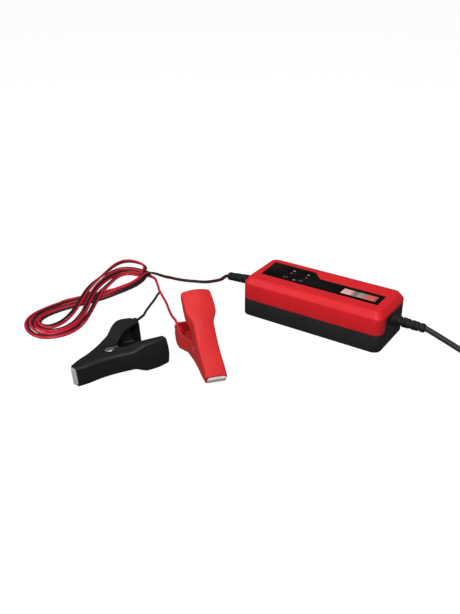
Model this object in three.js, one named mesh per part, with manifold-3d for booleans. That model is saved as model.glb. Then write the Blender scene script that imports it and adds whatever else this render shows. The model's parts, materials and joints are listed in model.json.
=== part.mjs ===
// Small 12 V car battery charger with a twin lead, two spring clamps and a mains lead.
// Millimetres. Origin: bottom centre of the case. +X towards the mains end, +Z up.
import * as THREE from "three";
import { mergeVertices } from "three/addons/utils/BufferGeometryUtils.js";
import Module from "manifold-3d";

const wasm = await Module();
wasm.setup();

// ---------- driving dimensions ----------
const GAP = 0.3; // clearance between pieces that touch

const CASE = { length: 150, width: 62, height: 41.5, corner: 7.8, wall: 2.2 };
const SEAM_Z = 18.2; // joint between the lower and upper shell
const CHAMFER = { drop: 6.1, inset: 4.1 };
const TONGUE = { near: -17, far: 23, top: 31.2 }; // end plates of the lower shell
const GLAND_Z = 24.2; // height of both strain reliefs
const GLAND_HOLE = 5.4;
const SCREW = { x: 64, y: 21.5 };
const BOARD = { length: 118, width: 52, thick: 1.6, z: 8.4 };
const BOARD_POST = { x: 50, y: 20 };

const OVERLAY = { left: -63, right: 63, near: -13, far: 7.5, wideFar: 19, stepX: -7, stepRun: 11 };
const OVERLAY_THICK = 0.8;
const BADGE = { x: 40.5, y: -2.9, length: 36, width: 10.6 };
const LIGHTS = [
  [-38, 4.5],
  [-20.3, 3],
  [-21, 9.6],
  [-28.3, -7.8],
  [-37.6, 10.4],
];

const RELIEF = { rootRadius: 5.2, tipRadius: 4.1, ribs: 5 };
const MAINS_RELIEF_LENGTH = 32;
const DC_RELIEF_LENGTH = 36;
const MAINS_CORD = 5.4; // diameter
const TWIN_WIRE = 2.6; // diameter of one conductor of the twin lead
const TWIN_WIDTH = 2 * TWIN_WIRE;

const JAW_REAR = 57; // where the steel jaws end inside the handles
const EYE_RADIUS = 4.2; // round ear of a steel jaw about the pin
const EYE_CLEARANCE = 0.7; // room for the ear inside the other jaw
const CLAMP = {
  length: 80,
  pivotX: 38,
  jawHalfWidth: 9.8,
  handleHalfWidth: 14.3,
  flare: [48, 60],
  wall: 1.6,
  plate: 1,
  lip: 1.5,
};
const CLAMP_STATIONS = [0, 8, 20, 32, 44, 56, 68, 80]; // distance from the jaw tip
const MOVING_OUTSIDE = [4.1, 7.4, 9.6, 13.3, 18.6, 24.2, 28.2, 29.8]; // outer face from the mid-plane
const MOVING_INSIDE = [0.4, 0.4, 0.4, 0.4, 4, 14.5, 20, 24.5]; // free edge of its side walls
const WIRED_OUTSIDE = [4.1, 7.4, 9.6, 13.3, 18.6, 24.2, 28.8, 23.5];
const WIRED_INSIDE = [0.4, 0.4, 0.4, 0.4, 1.5, 6.5, 10, 11.5];
const WIRE_BOSS = { x0: 74, x1: 83, y: 19, z: 10.4, radius: 3.3 };
const BLACK_CLAMP = { tip: [-124.7, -222.4, 9.95], roll: 0, pitch: 4.4, heading: 76.4 };
const RED_CLAMP = { tip: [-24, -153.2, 5.25], roll: -86.5, pitch: 20.3, heading: 142.3 };

const COIL = { x: 183, y: 35, radius: 30, halfSection: 8.1, z: 1.2 };
const HANK_HEIGHT = 11;

// ---------- routes of the leads, chosen by hand ----------
const MAINS_ROUTE = [
  [107.9, 0, 23.6],
  [115, 0, 21.4],
  [121.5, 0, 19.2],
  [131, 0, 15.9],
  [141, 0, 12.3],
  [149, -0.1, 9],
  [156, -0.3, 6.3],
  [162.6, -0.4, 4.7],
];
const MAINS_END_ROUTE = [
  [180.4, 5.1, 20.5],
  [188.2, 5.5, 20.5],
  [195.7, 7.8, 20.7],
  [202.3, 12, 21.6],
  [206.6, 16.4, 23],
  [209.3, 20, 24.3],
];
const TWIN_ROUTE = [
  [-112.3, 0, 20.8],
  [-115.2, 0, 19.6],
  [-121.5, 0.4, 14],
  [-129, 0.8, 10.2],
  [-137.5, 1.2, 6.6],
  [-146, 1.2, 4],
  [-155, 0, 2.8],
  [-166.5, -4.6, 2.8],
  [-178, -7.2, 2.8],
  [-189, -8.8, 3.4],
  [-198, -10.2, 5.8],
  [-205.4, -11.4, 8.2],
];
const TAIL_ROUTE = [
  [-205.2, -14.6, 2.7],
  [-200.3, -17.7, 2.7],
  [-194, -22.4, 2.7],
  [-187.1, -28.8, 2.7],
  [-180.6, -35, 2.7],
  [-174.6, -40.9, 2.7],
];
const BLACK_WIRE_ROUTE = [
  [-175.3, -43.4, 1.6],
  [-172.2, -47.8, 1.4],
  [-169.3, -54.4, 1.5],
  [-163.6, -66, 3.6],
  [-154.7, -82.5, 8.2],
  [-144, -100.8, 14],
  [-135, -114.8, 18.7],
  [-127.6, -126.6, 24.2],
  [-124.5, -133, 26.4],
  [-123.8, -137.8, 26.7],
];
const RED_WIRE_ROUTE = [
  [-172.6, -40.9, 1.6],
  [-167.2, -45.9, 1.4],
  [-159.1, -52.4, 1.8],
  [-147.6, -63, 4.3],
  [-132.5, -78.6, 8.4],
  [-117.6, -93.2, 12.8],
  [-107.6, -102.2, 16.4],
  [-102, -107.2, 18.2],
  [-98.0, -110.6, 17.0],
];

// ---------- solids ----------
function solid(geometry) {
  const bare = geometry.index ? geometry.toNonIndexed() : geometry.clone();
  bare.deleteAttribute("normal");
  bare.deleteAttribute("uv");
  const merged = mergeVertices(bare, 1e-4);
  const vertProperties = merged.attributes.position.array;
  const triVerts = new Uint32Array(merged.index.array);
  return new wasm.Manifold(new wasm.Mesh({ numProp: 3, vertProperties, triVerts }));
}

function geometryOf(body) {
  const mesh = body.getMesh();
  const geometry = new THREE.BufferGeometry();
  geometry.setAttribute("position", new THREE.BufferAttribute(mesh.vertProperties, 3));
  geometry.setIndex(new THREE.BufferAttribute(mesh.triVerts, 1));
  geometry.computeVertexNormals();
  return geometry;
}

const join = (first, ...others) => others.reduce((sum, body) => sum.add(body), first);
const cut = (first, ...others) => others.reduce((rest, body) => rest.subtract(body), first);

function box(x0, x1, y0, y1, z0, z1) {
  const geometry = new THREE.BoxGeometry(x1 - x0, y1 - y0, z1 - z0);
  return solid(geometry.translate((x0 + x1) / 2, (y0 + y1) / 2, (z0 + z1) / 2));
}

// Upright cylinder, or a cone when the top radius differs.
function post(x, y, z0, z1, radius, sides = 16, topRadius = radius) {
  const geometry = new THREE.CylinderGeometry(topRadius, radius, z1 - z0, sides);
  return solid(geometry.rotateX(Math.PI / 2).translate(x, y, (z0 + z1) / 2));
}

function rodX(x0, x1, y, z, radius, sides = 16) {
  const geometry = new THREE.CylinderGeometry(radius, radius, x1 - x0, sides);
  return solid(geometry.rotateZ(Math.PI / 2).translate((x0 + x1) / 2, y, z));
}

function polygon(points) {
  return new THREE.Shape(points.map(([x, y]) => new THREE.Vector2(x, y)));
}

function prism(points, z0, z1) {
  const geometry = new THREE.ExtrudeGeometry(polygon(points), { depth: z1 - z0, bevelEnabled: false });
  return solid(geometry.translate(0, 0, z0));
}

// Profile points [radius, height], turned about Z; it starts and ends on the axis or closes on itself.
function turned(profile, segments = 14) {
  const points = profile.map(([r, z]) => new THREE.Vector2(r, z));
  return solid(new THREE.LatheGeometry(points, segments).rotateX(Math.PI / 2));
}

function roundedRectangle(length, width, radius, cornerSteps) {
  const points = [];
  const corners = [
    [1, 1, 0],
    [-1, 1, 90],
    [-1, -1, 180],
    [1, -1, 270],
  ];
  for (const [sx, sy, start] of corners) {
    for (let i = 0; i <= cornerSteps; i++) {
      const angle = THREE.MathUtils.degToRad(start + (90 * i) / cornerSteps);
      const x = sx * (length / 2 - radius) + radius * Math.cos(angle);
      const y = sy * (width / 2 - radius) + radius * Math.sin(angle);
      points.push([x, y]);
    }
  }
  return points;
}

// Rounded block whose outline moves inwards by `inset` at each [height, inset] ring.
function ringedBlock(rings, cornerSteps = 5) {
  const { length, width, corner } = CASE;
  const shape = polygon(roundedRectangle(length, width, corner, cornerSteps));
  const geometry = new THREE.ExtrudeGeometry(shape, {
    depth: 1,
    steps: rings.length - 1,
    bevelEnabled: false,
  });
  const position = geometry.attributes.position;
  const innerX = length / 2 - corner;
  const innerY = width / 2 - corner;
  for (let i = 0; i < position.count; i++) {
    const x = position.getX(i);
    const y = position.getY(i);
    const [z, inset] = rings[Math.round(position.getZ(i) * (rings.length - 1))];
    const centreX = THREE.MathUtils.clamp(x, -innerX, innerX);
    const centreY = THREE.MathUtils.clamp(y, -innerY, innerY);
    const scale = (corner - inset) / corner;
    position.setXYZ(i, centreX + (x - centreX) * scale, centreY + (y - centreY) * scale, z);
  }
  return solid(geometry);
}

// Tube of the given width and height along hand-chosen points.
function tube(route, width, height, sides, steps) {
  const outline = [];
  for (let i = 0; i < sides; i++) {
    const angle = (2 * Math.PI * i) / sides;
    outline.push([(height / 2) * Math.cos(angle), (width / 2) * Math.sin(angle)]);
  }
  const curve = new THREE.CatmullRomCurve3(route.map((p) => new THREE.Vector3(...p)));
  return new THREE.ExtrudeGeometry(polygon(outline), { steps, bevelEnabled: false, extrudePath: curve });
}

const smooth = (t) => t * t * (3 - 2 * t);

function along(stations, values, x) {
  if (x <= stations[0]) return values[0];
  for (let i = 1; i < stations.length; i++) {
    if (x <= stations[i]) {
      const t = (x - stations[i - 1]) / (stations[i] - stations[i - 1]);
      return values[i - 1] + (values[i] - values[i - 1]) * t;
    }
  }
  return values[values.length - 1];
}

// ---------- materials ----------
const finish = (color, roughness, metalness = 0) =>
  new THREE.MeshStandardMaterial({ color, roughness, metalness });
const RED_SHELL = finish(0xc4222c, 0.42);
const BLACK_SHELL = finish(0x1e1e1f, 0.55);
const GLOSS_BLACK = finish(0x060606, 0.12);
const SILVER_PLATE = finish(0xb9b4b2, 0.35, 0.4);
const LENS_RED = finish(0xd83a33, 0.25);
const LENS_GREEN = finish(0x53b36a, 0.25);
const BLACK_RUBBER = finish(0x1b1b1c, 0.6);
const CLAMP_RED = finish(0xd22f36, 0.4);
const CLAMP_BLACK = finish(0x1d1d1e, 0.5);
const WIRE_RED = finish(0xb81c2c, 0.38);
const WIRE_BLACK = finish(0x161617, 0.38);
const NICKEL = finish(0xb4b7ba, 0.3, 1);
const SPRING_STEEL = finish(0x8f9498, 0.3, 1);
const BOARD_GREEN = finish(0x2f6b3c, 0.5);
const FERRITE = finish(0x2c2a29, 0.7);
const WINDING = finish(0xd9a52f, 0.45);
const COMPONENT = finish(0x1a1a1c, 0.45);
const CAPACITOR = finish(0x27303f, 0.35);
const ALUMINIUM = finish(0xb8bcc0, 0.35, 0.9);
const GLASS_FUSE = finish(0xd8dcd8, 0.1);

const charger = new THREE.Group();

function add(name, shape, material, parent = charger) {
  const geometry = shape instanceof THREE.BufferGeometry ? shape : geometryOf(shape);
  const mesh = new THREE.Mesh(geometry, material);
  mesh.name = name;
  parent.add(mesh);
  return mesh;
}

// ---------- case ----------
function corners(x, y) {
  return [
    [-x, -y],
    [x, -y],
    [-x, y],
    [x, y],
  ];
}

function lowerShell() {
  const { wall } = CASE;
  const outside = ringedBlock([[0, 1.1], [0.4, 0.4], [1.2, 0], [SEAM_Z, 0]]);
  const inside = ringedBlock([[wall, wall + 0.6], [wall + 0.8, wall], [SEAM_Z + 1, wall]]);
  let body = outside.subtract(inside);
  for (const side of [-1, 1]) {
    const x0 = side > 0 ? CASE.length / 2 - wall : -CASE.length / 2;
    const plate = box(x0, x0 + wall, TONGUE.near, TONGUE.far, SEAM_Z - 6, TONGUE.top);
    const hole = rodX(x0 - 1, x0 + wall + 1, 0, GLAND_Z, GLAND_HOLE, 16);
    body = body.add(plate).subtract(hole);
  }
  for (const [x, y] of corners(SCREW.x, SCREW.y)) {
    body = body.add(post(x, y, wall - 0.4, 9.6, 3.8));
    body = cut(body, post(x, y, -1, 3, 3.1), post(x, y, -1, 12, 1.7, 12));
  }
  for (const [x, y] of corners(BOARD_POST.x, BOARD_POST.y)) {
    body = body.add(post(x, y, wall - 0.4, BOARD.z - GAP, 2.6, 12));
    body = body.subtract(post(x, y, 4, BOARD.z + 1, 1.2, 10));
  }
  return body;
}

function upperShell() {
  const { height, wall } = CASE;
  const shoulder = height - CHAMFER.drop;
  const outside = ringedBlock([
    [SEAM_Z + GAP, 0],
    [shoulder - 0.6, 0],
    [shoulder + 0.5, 0.4],
    [height - 0.7, CHAMFER.inset - 0.5],
    [height, CHAMFER.inset + 0.6],
  ]);
  const inside = ringedBlock([
    [SEAM_Z - 1, wall],
    [shoulder - 0.8, wall],
    [height - wall, CHAMFER.inset + wall - 1],
  ]);
  let body = outside.subtract(inside);
  const reach = CASE.length / 2 + 1;
  const inner = CASE.length / 2 - wall - GAP;
  const near = TONGUE.near - GAP;
  const far = TONGUE.far + GAP;
  const top = TONGUE.top + GAP;
  body = cut(
    body,
    box(inner, reach, near, far, SEAM_Z - 1, top),
    box(-reach, -inner, near, far, SEAM_Z - 1, top),
  );
  for (const [x, y] of corners(SCREW.x, SCREW.y)) {
    const pillar = post(x, y, 9.9, height - wall + 0.5, 3.4);
    body = body.add(pillar).subtract(post(x, y, 9, 24, 1.5, 12));
  }
  const recess = prism(overlayOutline(GAP), height - OVERLAY_THICK - GAP, height + 1);
  body = body.subtract(recess);
  for (const [x, y] of LIGHTS) body = body.subtract(post(x, y, 30, height + 1, 1.9, 12));
  return body;
}

function overlayOutline(grow) {
  const { left, right, near, far, wideFar, stepX, stepRun } = OVERLAY;
  return [
    [left - grow, near - grow],
    [right + grow, near - grow],
    [right + grow, far + grow],
    [stepX + grow * 0.4, far + grow],
    [stepX - stepRun + grow * 0.4, wideFar + grow],
    [left - 2 - grow, wideFar + grow],
  ];
}

function overlayPanel() {
  const top = CASE.height + 0.1;
  let body = prism(overlayOutline(0), CASE.height - OVERLAY_THICK, top);
  const halfLength = BADGE.length / 2 + GAP;
  const halfWidth = BADGE.width / 2 + GAP;
  body = body.subtract(
    box(BADGE.x - halfLength, BADGE.x + halfLength, BADGE.y - halfWidth, BADGE.y + halfWidth, 30, 50),
  );
  for (const [x, y] of LIGHTS) body = body.subtract(post(x, y, 30, top + 1, 1.9, 12));
  return body;
}

function badgePlate() {
  const { x, y, length, width } = BADGE;
  const z0 = CASE.height - OVERLAY_THICK;
  return box(x - length / 2, x + length / 2, y - width / 2, y + width / 2, z0, z0 + 0.9);
}

const statusLight = ([x, y]) =>
  join(post(x, y, 36.2, CASE.height + 0.3, 1.5, 12), post(x, y, 34.6, 37.4, 2.1, 12));

function caseScrew([x, y]) {
  return join(post(x, y, 1.2, 2.4, 2.7, 14), post(x, y, 2.2, 20, 1.2, 10));
}

add("lower_shell", lowerShell(), BLACK_SHELL);
add("upper_shell", upperShell(), RED_SHELL);
add("overlay_panel", overlayPanel(), GLOSS_BLACK);
add("badge_plate", badgePlate(), SILVER_PLATE);
LIGHTS.forEach((at, i) => add(`status_light_${i + 1}`, statusLight(at), i === 2 ? LENS_GREEN : LENS_RED));
corners(SCREW.x, SCREW.y).forEach((at, i) => add(`case_screw_${i + 1}`, caseScrew(at), SPRING_STEEL));

// ---------- circuit board and what stands on it ----------
function circuitBoard() {
  const { length, width, thick, z } = BOARD;
  let board = box(-length / 2, length / 2, -width / 2, width / 2, z, z + thick);
  for (const [x, y] of corners(BOARD_POST.x, BOARD_POST.y)) {
    board = board.subtract(post(x, y, z - 1, z + 3, 1.4, 10));
  }
  return board;
}

function boardScrew([x, y]) {
  const top = BOARD.z + BOARD.thick + GAP;
  return join(post(x, y, top, top + 1.4, 2.2, 12), post(x, y, 5, top + 0.2, 0.9, 10));
}

const STAND_Z = BOARD.z + BOARD.thick + GAP; // underside of the board's components

function transformerCore() {
  const block = box(-14, 14, -10, 10, STAND_Z, STAND_Z + 22);
  const windowLeft = box(-10, -4, -11, 11, STAND_Z + 5, STAND_Z + 17);
  const windowRight = box(4, 10, -11, 11, STAND_Z + 5, STAND_Z + 17);
  return cut(block, windowLeft, windowRight);
}

function transformerWinding() {
  const outside = box(-9.7, 9.7, -13, 13, STAND_Z + 5.3, STAND_Z + 16.7);
  const coreLeg = box(-4 - GAP, 4 + GAP, -10.3, 10.3, STAND_Z + 4, STAND_Z + 18);
  return outside.subtract(coreLeg);
}

function heatSink() {
  let body = box(-24, 16, -25, -23, STAND_Z, STAND_Z + 22);
  for (let i = 0; i < 6; i++) {
    const x = -23 + i * 7.4;
    body = body.add(box(x, x + 1.2, -23.2, -20.4, STAND_Z, STAND_Z + 22));
  }
  return body;
}

function mainsChoke() {
  const ring = [];
  for (let i = 0; i <= 8; i++) {
    const angle = (2 * Math.PI * i) / 8;
    ring.push([7.4 + 3 * Math.cos(angle), 3 * Math.sin(angle)]);
  }
  return turned(ring, 14).translate([38, 13, STAND_Z + 3.1]);
}

add("circuit_board", circuitBoard(), BOARD_GREEN);
corners(BOARD_POST.x, BOARD_POST.y).forEach((at, i) => {
  add(`board_screw_${i + 1}`, boardScrew(at), SPRING_STEEL);
});
add("transformer_core", transformerCore(), FERRITE);
add("transformer_winding", transformerWinding(), WINDING);
add("heat_sink", heatSink(), ALUMINIUM);
add("power_transistor", box(-9, 1, -20.1, -15.8, STAND_Z, STAND_Z + 16), COMPONENT);
add("mains_choke", mainsChoke(), WINDING);
add("input_capacitor", post(34, -12, STAND_Z, STAND_Z + 22, 8, 20), CAPACITOR);
add("output_capacitor", post(-30, 14, STAND_Z, STAND_Z + 20, 5, 16), CAPACITOR);
add("bridge_rectifier", box(18, 22, -6, 10, STAND_Z, STAND_Z + 15), COMPONENT);
add("fuse", rodX(20, 40, -23.2, STAND_Z + 2.8, 2.5, 12), GLASS_FUSE);
add("controller_chip", box(-46, -36, -8, -1, STAND_Z, STAND_Z + 2), COMPONENT);

// ---------- strain reliefs ----------
// Ribbed sleeve along +X from x = 0, its neck held in the end plate.
function strainRelief(length) {
  const { rootRadius, tipRadius, ribs } = RELIEF;
  const profile = [
    [0, -6],
    [7.4, -6],
    [7.4, -3.2],
    [4.6, -3.2],
    [4.6, 0.5],
    [rootRadius, 0.5],
  ];
  const pitch = (length - 4) / ribs;
  for (let i = 0; i < ribs; i++) {
    const radius = rootRadius + ((tipRadius - rootRadius) * i) / ribs;
    const start = 1.6 + i * pitch;
    profile.push([radius, start], [radius, start + pitch * 0.62]);
    profile.push([radius - 1, start + pitch * 0.7], [radius - 1, start + pitch * 0.96]);
  }
  profile.push([tipRadius, length - 2.2], [tipRadius, length - 0.6], [tipRadius - 0.7, length], [0, length]);
  return geometryOf(turned(profile, 12)).rotateY(Math.PI / 2);
}

function placeRelief(name, side, droop, length) {
  const holder = new THREE.Group();
  holder.position.set((side * CASE.length) / 2, 0, GLAND_Z);
  holder.rotation.set(0, THREE.MathUtils.degToRad(droop), side > 0 ? 0 : Math.PI, "ZYX");
  charger.add(holder);
  add(name, strainRelief(length), BLACK_RUBBER, holder);
}

placeRelief("mains_strain_relief", 1, 1, MAINS_RELIEF_LENGTH);
placeRelief("dc_strain_relief", -1, 5, DC_RELIEF_LENGTH);

// ---------- mains lead, its coil, tie and plug ----------
function mainsCoil() {
  const { radius, halfSection, z } = COIL;
  const soft = 2.4;
  const square = halfSection - soft;
  const profile = [];
  for (let i = 0; i <= 12; i++) {
    const angle = (2 * Math.PI * i) / 12;
    const dx = Math.sign(Math.round(Math.cos(angle) * 1e6)) * square + soft * Math.cos(angle);
    const dz = Math.sign(Math.round(Math.sin(angle) * 1e6)) * square + soft * Math.sin(angle);
    profile.push([radius + dx, z + halfSection + dz]);
  }
  return turned(profile, 28).translate([COIL.x, COIL.y, 0]);
}

// Strap round the coil's section, on the side towards the case.
function coilTie() {
  const { y, radius, halfSection, z } = COIL;
  const x = COIL.x - radius;
  const inner = halfSection + GAP;
  const outer = inner + 0.8;
  const middle = z + halfSection;
  const curve = 0.6; // room for the ring's curvature inside a straight strap
  const loop = box(x - outer, x + outer + curve, y - 4, y + 4, middle - outer, middle + outer);
  return loop.subtract(box(x - inner, x + inner + curve, y - 5, y + 5, middle - inner, middle + inner));
}

const PLUG_Z = COIL.z + 2 * COIL.halfSection + 7.3;
const PLUG_TAIL = [209.8, 21.5];
const PLUG_HEADING = 82;

function plugBody() {
  const halfWidths = [[0, 4.2], [10, 6.4], [22, 12.6], [35, 13]];
  const outline = halfWidths.map(([x, w]) => [x, -w]).concat(halfWidths.toReversed());
  return prism(outline, -6.8, 6.8);
}

const mains = new THREE.Group();
mains.position.set(...PLUG_TAIL, PLUG_Z);
mains.rotation.z = THREE.MathUtils.degToRad(PLUG_HEADING);
charger.add(mains);
add("mains_cord_run", tube(MAINS_ROUTE, MAINS_CORD, MAINS_CORD, 8, 10), BLACK_RUBBER);
add("mains_cord_end", tube(MAINS_END_ROUTE, MAINS_CORD, MAINS_CORD, 8, 8), BLACK_RUBBER);
add("mains_coil", mainsCoil(), BLACK_RUBBER);
add("coil_tie", coilTie(), BLACK_RUBBER);
add("plug_body", plugBody(), BLACK_RUBBER, mains);
add("plug_pin_1", rodX(35.3, 54, 9.3, 0, 2, 12), NICKEL, mains);
add("plug_pin_2", rodX(35.3, 54, -9.3, 0, 2, 12), NICKEL, mains);

// ---------- twin lead and its hank ----------
// Outline of the figure of eight as it lies, from the crossing round each loop.
const HANK_OUTLINE = [
  [-212, -97],
  [-203, -68],
  [-200, -44],
  [-207, -24],
  [-222, 0],
  [-234, 9],
  [-262, 6],
  [-264, -12],
  [-256, -38],
  [-247, -64],
  [-243, -96],
  [-250, -128],
  [-254, -150],
  [-246, -172],
  [-227, -187],
  [-206, -190],
  [-191, -170],
  [-189, -150],
  [-198, -130],
];

function hank() {
  const shape = new THREE.Shape();
  const curve = new THREE.CatmullRomCurve3(HANK_OUTLINE.map(([x, y]) => new THREE.Vector3(x, y, 0)), true);
  const points = curve.getPoints(44).slice(0, -1);
  shape.setFromPoints(points.map((p) => new THREE.Vector2(p.x, p.y)));
  return new THREE.ExtrudeGeometry(shape, { depth: HANK_HEIGHT, bevelEnabled: false });
}

add("twin_lead_run", tube(TWIN_ROUTE, TWIN_WIDTH, TWIN_WIDTH, 8, 16), WIRE_RED);
add("twin_lead_hank", hank(), WIRE_RED);
add("twin_lead_tail", tube(TAIL_ROUTE, TWIN_WIDTH, TWIN_WIDTH, 8, 8), WIRE_RED);

// ---------- clamps ----------
// Block whose width, top and bottom follow the clamp's length; `section` is across (-1..1), down (0..1).
function loft(section, x0, x1, steps, shapeAt) {
  const geometry = new THREE.ExtrudeGeometry(polygon(section), { depth: 1, steps, bevelEnabled: false });
  const position = geometry.attributes.position;
  for (let i = 0; i < position.count; i++) {
    const across = position.getX(i);
    const down = position.getY(i);
    const x = x0 + (x1 - x0) * position.getZ(i);
    const { halfWidth, top, bottom, crown } = shapeAt(x);
    const bulge = down < 0.05 ? crown * (1 - across * across) : 0;
    position.setXYZ(i, x, top + bulge - down * (top - bottom), across * halfWidth);
  }
  return solid(geometry);
}

const COVER_SECTION = [
  [-1, 1],
  [-1, 0.3],
  [-0.93, 0.08],
  [-0.78, 0],
  [-0.4, 0],
  [0, 0],
  [0.4, 0],
  [0.78, 0],
  [0.93, 0.08],
  [1, 0.3],
  [1, 1],
];
const PLAIN_SECTION = [
  [-1, 1],
  [-1, 0],
  [1, 0],
  [1, 1],
];

function coverHalfWidth(x) {
  const [from, to] = CLAMP.flare;
  const t = smooth(THREE.MathUtils.clamp((x - from) / (to - from), 0, 1));
  return CLAMP.jawHalfWidth + (CLAMP.handleHalfWidth - CLAMP.jawHalfWidth) * t;
}

const outsideAt = (x, wired = false) => along(CLAMP_STATIONS, wired ? WIRED_OUTSIDE : MOVING_OUTSIDE, x);
const insideAt = (x, wired = false) => along(CLAMP_STATIONS, wired ? WIRED_INSIDE : MOVING_INSIDE, x);
const crownAt = (x) => 0.5 + 1.5 * smooth(THREE.MathUtils.clamp((x - 30) / 50, 0, 1));

// Insulating cover of one lever, on the +Y side, open towards the other lever.
function cover(wired) {
  const { length, wall, pivotX } = CLAMP;
  const outside = loft(COVER_SECTION, 0, length, 20, (x) => ({
    halfWidth: coverHalfWidth(x),
    top: outsideAt(x, wired),
    bottom: insideAt(x, wired),
    crown: crownAt(x),
  }));
  const inside = loft(PLAIN_SECTION, -2, length - wall, 20, (x) => ({
    halfWidth: coverHalfWidth(x) - wall,
    top: outsideAt(x, wired) - wall,
    bottom: insideAt(x, wired) - 3,
    crown: 0,
  }));
  let body = outside.subtract(inside);
  if (wired) {
    // Boss that the wire enters, on a web at the handle's end.
    const { x0, x1, y, z, radius } = WIRE_BOSS;
    body = join(body, box(x0 - 1, length, 17.6, 24, 7, 13), rodX(x0, x1, y, z, radius, 12));
  }
  return body.subtract(post(pivotX, 0, -20, 20, EYE_RADIUS + EYE_CLEARANCE, 16));
}

// Steel jaw of one lever: a channel under the cover, a lip across the tip and an eye for the pin.
function jaw(earOutside) {
  const { wall, plate, pivotX, lip } = CLAMP;
  const rear = JAW_REAR;
  const top = (x) => outsideAt(x) - wall - 0.4;
  const outside = loft(PLAIN_SECTION, -lip, rear, 11, (x) => ({
    halfWidth: earOutside,
    top: top(x),
    bottom: insideAt(x) + 0.1,
    crown: 0,
  }));
  const inside = loft(PLAIN_SECTION, -lip - 1, rear + 1, 11, (x) => ({
    halfWidth: earOutside - plate,
    top: top(x) - plate,
    bottom: insideAt(x) - 3,
    crown: 0,
  }));
  let body = outside.subtract(inside);
  body = body.add(box(-lip - GAP, -GAP, 0.4, 2.1, -8.4, 8.4));
  for (const side of [-1, 1]) {
    const z0 = side > 0 ? earOutside - plate : -earOutside;
    body = body.add(post(pivotX, 0, z0, z0 + plate, EYE_RADIUS, 14));
    body = body.add(box(pivotX - 4, pivotX + 4, 0, 6, z0, z0 + plate));
  }
  body = body.subtract(post(pivotX, 0, -20, 20, 1.9, 10));
  for (let i = 0; i < 5; i++) {
    const x = 2.2 + i * 2.8;
    body = body.subtract(prism([[x - 1.1, 0], [x + 1.1, 0], [x, 1.9]], -8, 8));
  }
  return body;
}

function pivotPin() {
  const headInner = 7.6;
  const headOuter = 8.6;
  return turned([
    [0, -headOuter],
    [2.9, -headOuter],
    [3.4, -headOuter + 0.4],
    [3.4, -headInner],
    [1.6, -headInner],
    [1.6, headInner],
    [3.4, headInner],
    [3.4, headOuter - 0.4],
    [2.9, headOuter],
    [0, headOuter],
  ]).translate([CLAMP.pivotX, 0, 0]);
}

// Torsion spring: its coil round the pin, and one leg along each lever.
function torsionSpring() {
  const coil = turned([[2.3, -4], [3.8, -4], [3.8, 4], [2.3, 4], [2.3, -4]]);
  const leg = (side) => {
    const end = new THREE.Vector3(13.5, side * 15.4, side * 2);
    const start = new THREE.Vector3(1.6, side * 2.6, side * 2);
    const path = new THREE.LineCurve3(start, end);
    const round = new THREE.Shape().absarc(0, 0, 0.65, 0, 2 * Math.PI);
    const options = { steps: 1, bevelEnabled: false, extrudePath: path, curveSegments: 5 };
    return solid(new THREE.ExtrudeGeometry(round, options));
  };
  return join(coil, leg(1), leg(-1)).translate([CLAMP.pivotX, 0, 0]);
}

function clamp(name, placing, colour) {
  const group = new THREE.Group();
  const degrees = THREE.MathUtils.degToRad;
  group.position.set(...placing.tip);
  group.rotation.set(degrees(placing.roll), degrees(-placing.pitch), degrees(placing.heading), "ZYX");
  charger.add(group);
  const moving = new THREE.Group();
  moving.rotation.x = Math.PI;
  group.add(moving);
  add(`${name}_wired_cover`, cover(true), colour, group);
  add(`${name}_wired_jaw`, jaw(6), NICKEL, group);
  add(`${name}_moving_cover`, cover(false), colour, moving);
  add(`${name}_moving_jaw`, jaw(7.3), NICKEL, moving);
  add(`${name}_pivot_pin`, pivotPin(), NICKEL, group);
  add(`${name}_spring`, torsionSpring(), SPRING_STEEL, group);
}

clamp("black_clamp", BLACK_CLAMP, CLAMP_BLACK);
clamp("red_clamp", RED_CLAMP, CLAMP_RED);

// ---------- single wires from the split to the clamps ----------
add("black_wire", tube(BLACK_WIRE_ROUTE, TWIN_WIRE, TWIN_WIRE, 8, 18), WIRE_BLACK);
add("red_wire", tube(RED_WIRE_ROUTE, TWIN_WIRE, TWIN_WIRE, 8, 16), WIRE_RED);

export default charger;
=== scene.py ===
"""Looks of the car battery charger: case, leads, clamps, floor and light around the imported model."""

import json
import math

import bmesh
import bpy
import numpy as np
from mathutils import Matrix, Vector


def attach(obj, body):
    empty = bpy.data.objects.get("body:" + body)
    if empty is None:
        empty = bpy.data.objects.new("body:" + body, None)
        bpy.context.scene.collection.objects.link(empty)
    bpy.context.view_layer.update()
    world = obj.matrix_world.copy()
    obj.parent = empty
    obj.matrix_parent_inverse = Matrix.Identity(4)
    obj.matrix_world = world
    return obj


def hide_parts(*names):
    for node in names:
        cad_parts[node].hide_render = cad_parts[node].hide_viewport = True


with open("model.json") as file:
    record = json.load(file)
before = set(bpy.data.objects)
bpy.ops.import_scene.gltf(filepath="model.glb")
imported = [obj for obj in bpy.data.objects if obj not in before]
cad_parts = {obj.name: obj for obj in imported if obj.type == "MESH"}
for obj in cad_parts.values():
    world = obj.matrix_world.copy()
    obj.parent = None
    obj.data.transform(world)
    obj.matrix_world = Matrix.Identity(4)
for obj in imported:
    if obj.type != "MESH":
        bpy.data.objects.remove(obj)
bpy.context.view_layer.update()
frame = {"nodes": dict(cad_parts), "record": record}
MM = 0.001
ROOT = "charger"

# ---------- camera ----------
CAMERA_PLACE = (0.282066, -0.598969, 0.362066)
CAMERA_AZIMUTH = 33.198
CAMERA_ELEVATION = 27.868
CAMERA_LENS = 43.30


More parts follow.
